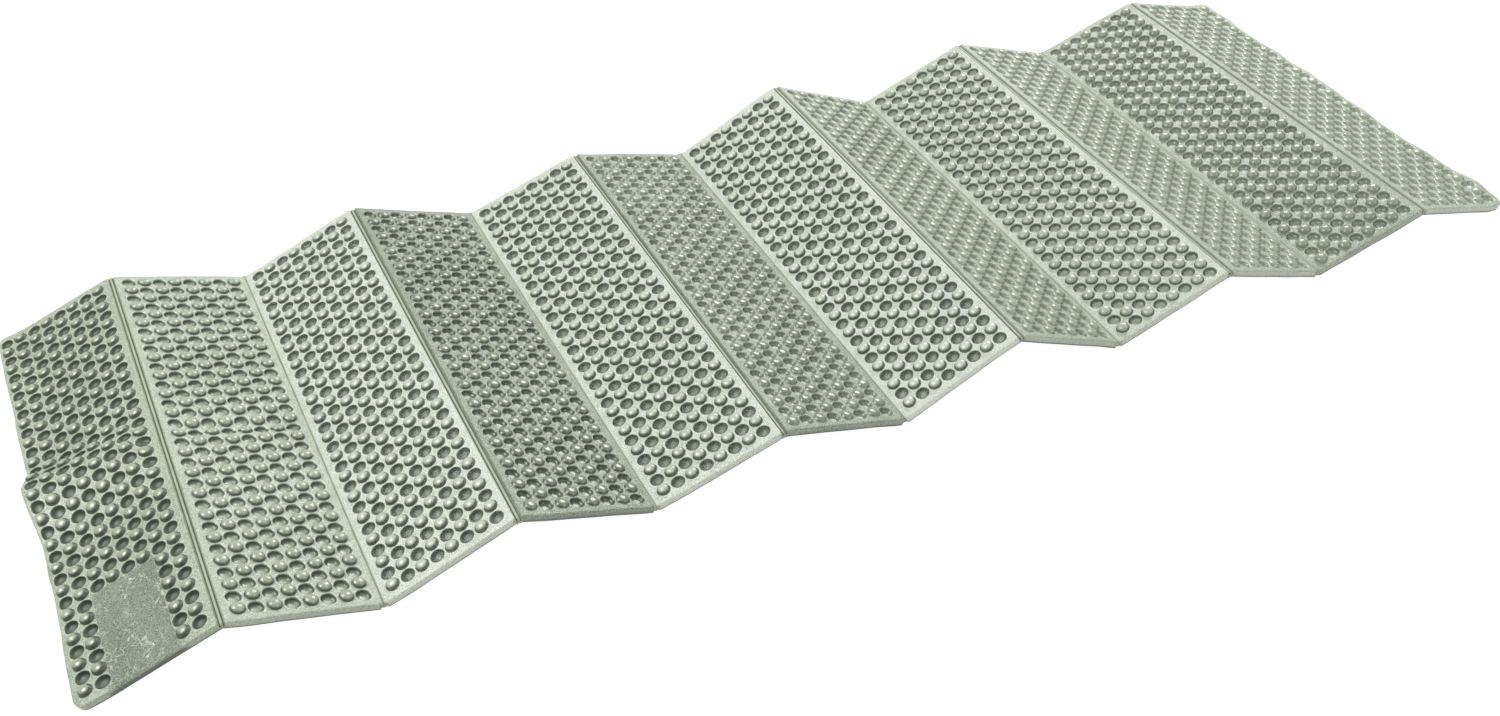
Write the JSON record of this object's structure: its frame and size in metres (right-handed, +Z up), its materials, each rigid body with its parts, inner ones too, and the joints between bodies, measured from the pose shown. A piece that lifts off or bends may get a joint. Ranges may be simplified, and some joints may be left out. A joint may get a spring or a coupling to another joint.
{
  "type": "folding foam sleeping pad",
  "caption": "Closed-cell foam sleeping pad with a quilted egg-crate relief and a reflective underside, folding accordion-wise on living hinges into a nested stack.",
  "frame": {"origin": "on the ground under the middle of the pad, as it stands in its zigzag", "axes": "+X along the pad's length from the panel with the smooth patch, +Y across it away from that patch's edge, +Z up, away from the film"},
  "size_m": [1.7772, 0.594, 0.0717],
  "materials": {
    "foam": "matt closed-cell foam with a fine grain",
    "film": "thin silvery film, slightly crinkled",
    "pressed_foam": "foam pressed thin, smooth"
  },
  "bodies": {
    "panel_01": {"foam_panel_01": "foam", "reflective_film_01": "film", "hinge_web_01": "pressed_foam"},
    "panel_02": {"foam_panel_02": "foam", "reflective_film_02": "film", "hinge_web_02": "pressed_foam"},
    "panel_03": {"foam_panel_03": "foam", "reflective_film_03": "film", "hinge_web_03": "pressed_foam"},
    "panel_04": {"foam_panel_04": "foam", "reflective_film_04": "film", "hinge_web_04": "pressed_foam"},
    "panel_05": {"foam_panel_05": "foam", "reflective_film_05": "film", "hinge_web_05": "pressed_foam"},
    "panel_06": {"foam_panel_06": "foam", "reflective_film_06": "film", "hinge_web_06": "pressed_foam"},
    "panel_07": {"foam_panel_07": "foam", "reflective_film_07": "film", "hinge_web_07": "pressed_foam"},
    "panel_08": {"foam_panel_08": "foam", "reflective_film_08": "film", "hinge_web_08": "pressed_foam"},
    "panel_09": {"foam_panel_09": "foam", "reflective_film_09": "film", "hinge_web_09": "pressed_foam"},
    "panel_10": {"foam_panel_10": "foam", "reflective_film_10": "film", "hinge_web_10": "pressed_foam"},
    "panel_11": {"foam_panel_11": "foam", "reflective_film_11": "film", "hinge_web_11": "pressed_foam"},
    "panel_12": {"foam_panel_12": "foam", "reflective_film_12": "film"}
  },
  "joints": [
    {"name": "mountain_fold_01", "type": "hinge", "parent": "panel_02", "child": "panel_01", "pos_m": [-0.74074, 0, 0.05159], "axis": [0, -1, 0], "range_deg": [-38.65, 141.35], "stiffness_Nm_per_rad": 0.3},
    {"name": "valley_fold_02", "type": "hinge", "parent": "panel_03", "child": "panel_02", "pos_m": [-0.59227, 0, 0.00959], "axis": [0, 1, 0], "range_deg": [-39.81, 140.19], "stiffness_Nm_per_rad": 0.3},
    {"name": "mountain_fold_03", "type": "hinge", "parent": "panel_04", "child": "panel_03", "pos_m": [-0.44469, 0, 0.05459], "axis": [0, -1, 0], "range_deg": [-40.97, 139.03], "stiffness_Nm_per_rad": 0.3},
    {"name": "valley_fold_04", "type": "hinge", "parent": "panel_05", "child": "panel_04", "pos_m": [-0.2971, 0, 0.00959], "axis": [0, 1, 0], "range_deg": [-37.13, 142.87], "stiffness_Nm_per_rad": 0.3},
    {"name": "mountain_fold_05", "type": "hinge", "parent": "panel_06", "child": "panel_05", "pos_m": [-0.14683, 0, 0.04459], "axis": [0, -1, 0], "range_deg": [-33.28, 146.72], "stiffness_Nm_per_rad": 0.3},
    {"name": "valley_fold_06", "type": "hinge", "parent": "panel_06", "child": "panel_07", "pos_m": [0.00344, 0, 0.00959], "axis": [0, -1, 0], "range_deg": [-41.05, 138.95], "stiffness_Nm_per_rad": 0.3},
    {"name": "mountain_fold_07", "type": "hinge", "parent": "panel_07", "child": "panel_08", "pos_m": [0.1476, 0, 0.06459], "axis": [0, 1, 0], "range_deg": [-48.83, 131.17], "stiffness_Nm_per_rad": 0.3},
    {"name": "valley_fold_08", "type": "hinge", "parent": "panel_08", "child": "panel_09", "pos_m": [0.29175, 0, 0.00959], "axis": [0, -1, 0], "range_deg": [-44.12, 135.88], "stiffness_Nm_per_rad": 0.3},
    {"name": "mountain_fold_09", "type": "hinge", "parent": "panel_09", "child": "panel_10", "pos_m": [0.43993, 0, 0.05259], "axis": [0, 1, 0], "range_deg": [-39.42, 140.58], "stiffness_Nm_per_rad": 0.3},
    {"name": "valley_fold_10", "type": "hinge", "parent": "panel_10", "child": "panel_11", "pos_m": [0.58811, 0, 0.00959], "axis": [0, -1, 0], "range_deg": [-35.97, 144.03], "stiffness_Nm_per_rad": 0.3},
    {"name": "mountain_fold_11", "type": "hinge", "parent": "panel_11", "child": "panel_12", "pos_m": [0.73861, 0, 0.04359], "axis": [0, 1, 0], "range_deg": [-32.52, 147.48], "stiffness_Nm_per_rad": 0.3}
  ]
}
